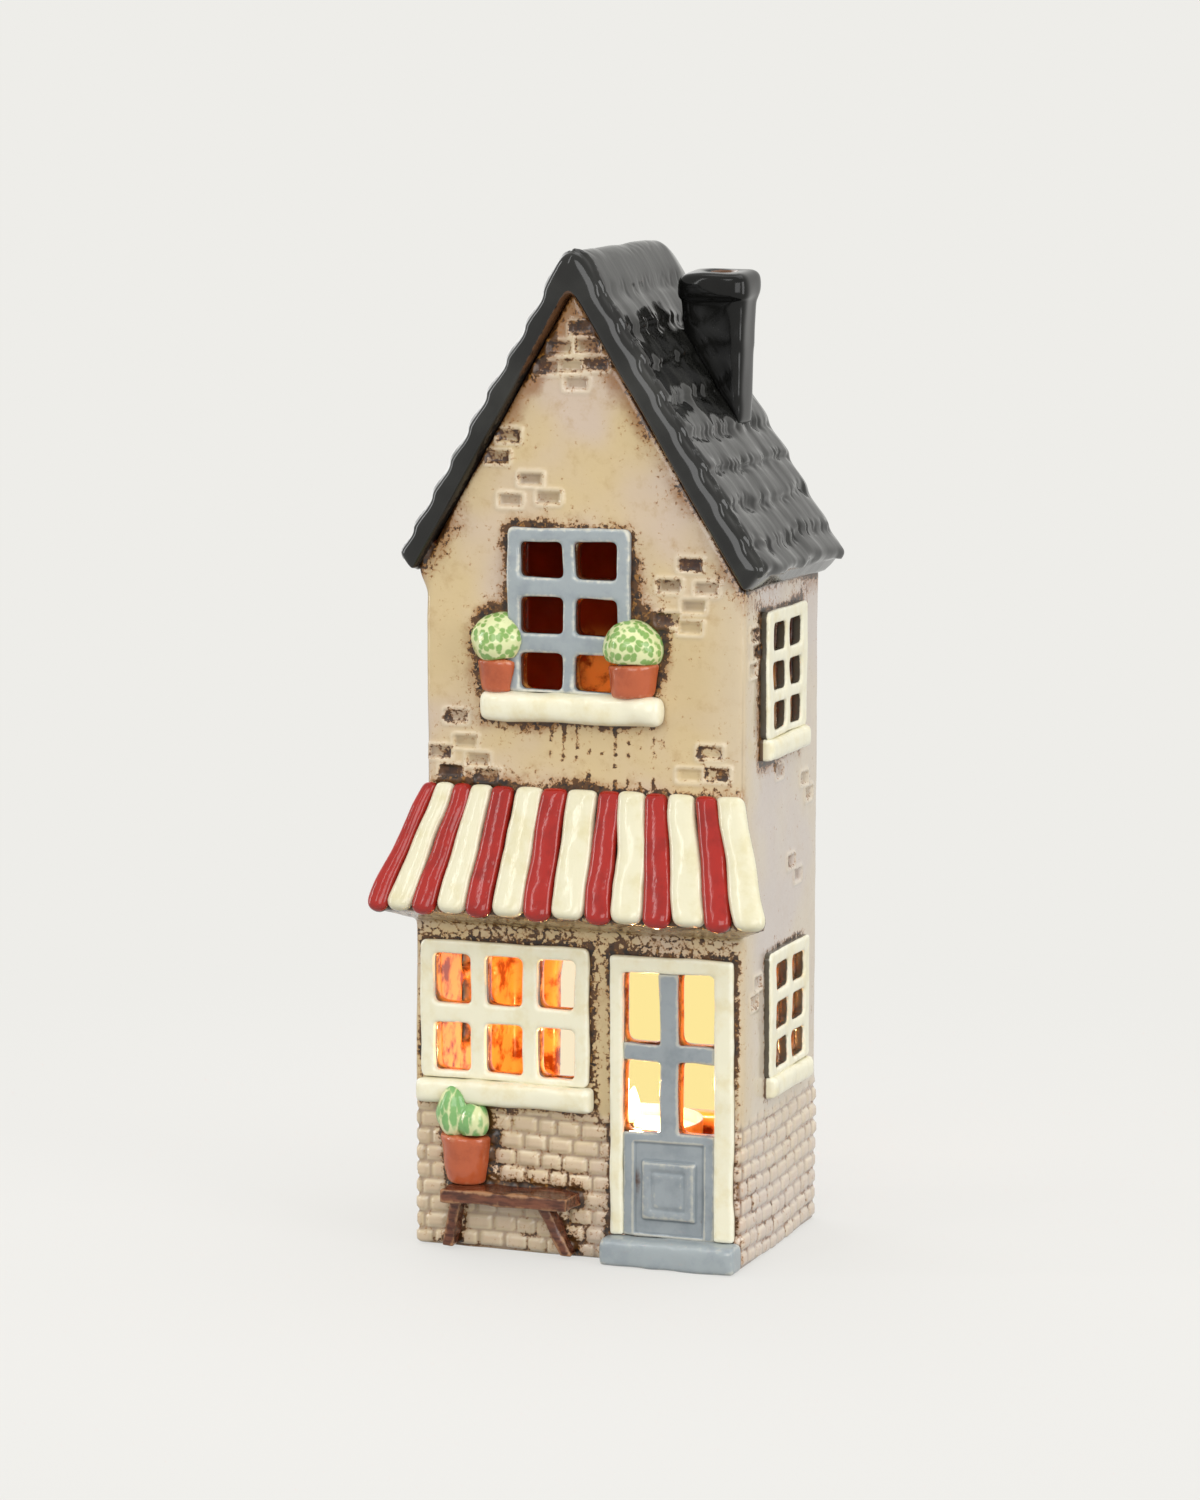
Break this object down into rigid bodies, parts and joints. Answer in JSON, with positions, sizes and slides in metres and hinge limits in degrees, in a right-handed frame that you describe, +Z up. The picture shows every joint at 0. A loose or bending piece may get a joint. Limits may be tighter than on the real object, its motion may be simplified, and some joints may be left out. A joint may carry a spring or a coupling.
{
  "type": "ceramic tealight house",
  "caption": "Glazed ceramic shop-front house with a striped awning, gabled roof and chimney, holding a tealight that goes in through an arched opening behind.",
  "frame": {"origin": "middle of the object's outline, on the surface that it stands on", "axes": "+Z up, the shop front faces -Y, +X to the right as seen from the front"},
  "size_m": [0.109, 0.0864, 0.2598],
  "materials": {
    "wall_glaze": "glossy cream glaze with brown speckle",
    "roof_glaze": "glossy charcoal glaze",
    "red_glaze": "glossy deep red glaze",
    "cream_glaze": "glossy pale cream glaze",
    "blue_glaze": "glossy slate blue glaze",
    "terracotta_glaze": "glossy orange-brown glaze",
    "green_glaze": "glossy mottled green glaze",
    "brown_glaze": "glossy dark brown glaze",
    "cup_metal": "thin pressed sheet",
    "wax": "smooth white wax",
    "wick": "braided cotton"
  },
  "bodies": {
    "house": {"awning_backing": "wall_glaze", "awning_stripe_01_red": "red_glaze", "awning_stripe_02_cream": "cream_glaze", "awning_stripe_03_red": "red_glaze", "awning_stripe_04_cream": "cream_glaze", "awning_stripe_05_red": "red_glaze", "awning_stripe_06_cream": "cream_glaze", "awning_stripe_07_red": "red_glaze", "awning_stripe_08_cream": "cream_glaze", "awning_stripe_09_red": "red_glaze", "awning_stripe_10_cream": "cream_glaze", "awning_stripe_11_red": "red_glaze", "awning_stripe_12_cream": "cream_glaze", "awning_stripe_13_red": "red_glaze", "awning_stripe_14_cream": "cream_glaze", "bench_leg_left": "brown_glaze", "bench_leg_right": "brown_glaze", "bench_plant": "green_glaze", "bench_pot": "terracotta_glaze", "bench_seat": "brown_glaze", "chimney_rim": "roof_glaze", "chimney_stack": "roof_glaze", "door_leaf": "blue_glaze", "door_panel": "blue_glaze", "door_surround": "cream_glaze", "doorstep": "blue_glaze", "floor_slab": "wall_glaze", "front_wall": "wall_glaze", "left_lower_window_frame": "cream_glaze", "left_lower_window_sill": "cream_glaze", "left_upper_window_frame": "cream_glaze", "left_upper_window_sill": "cream_glaze", "left_wall": "wall_glaze", "rear_wall": "wall_glaze", "ridge_roll": "roof_glaze", "right_lower_window_frame": "cream_glaze", "right_lower_window_sill": "cream_glaze", "right_upper_window_frame": "cream_glaze", "right_upper_window_sill": "cream_glaze", "right_wall": "wall_glaze", "roof_left": "roof_glaze", "roof_right": "roof_glaze", "shop_window_frame": "cream_glaze", "shop_window_sill": "cream_glaze", "upper_window_frame": "blue_glaze", "upper_window_sill": "cream_glaze", "window_pot_left": "terracotta_glaze", "window_pot_right": "terracotta_glaze", "window_shrub_left": "green_glaze", "window_shrub_right": "green_glaze"},
    "tealight": {"tealight_cup": "cup_metal", "tealight_wax": "wax", "tealight_wick": "wick", "wick_tab": "cup_metal"}
  },
  "joints": [
    {"name": "tealight_lift_out", "type": "slide", "parent": "house", "child": "tealight", "axis": [0, 0.7547, 0.6561], "range_m": [0, 0.09]}
  ]
}
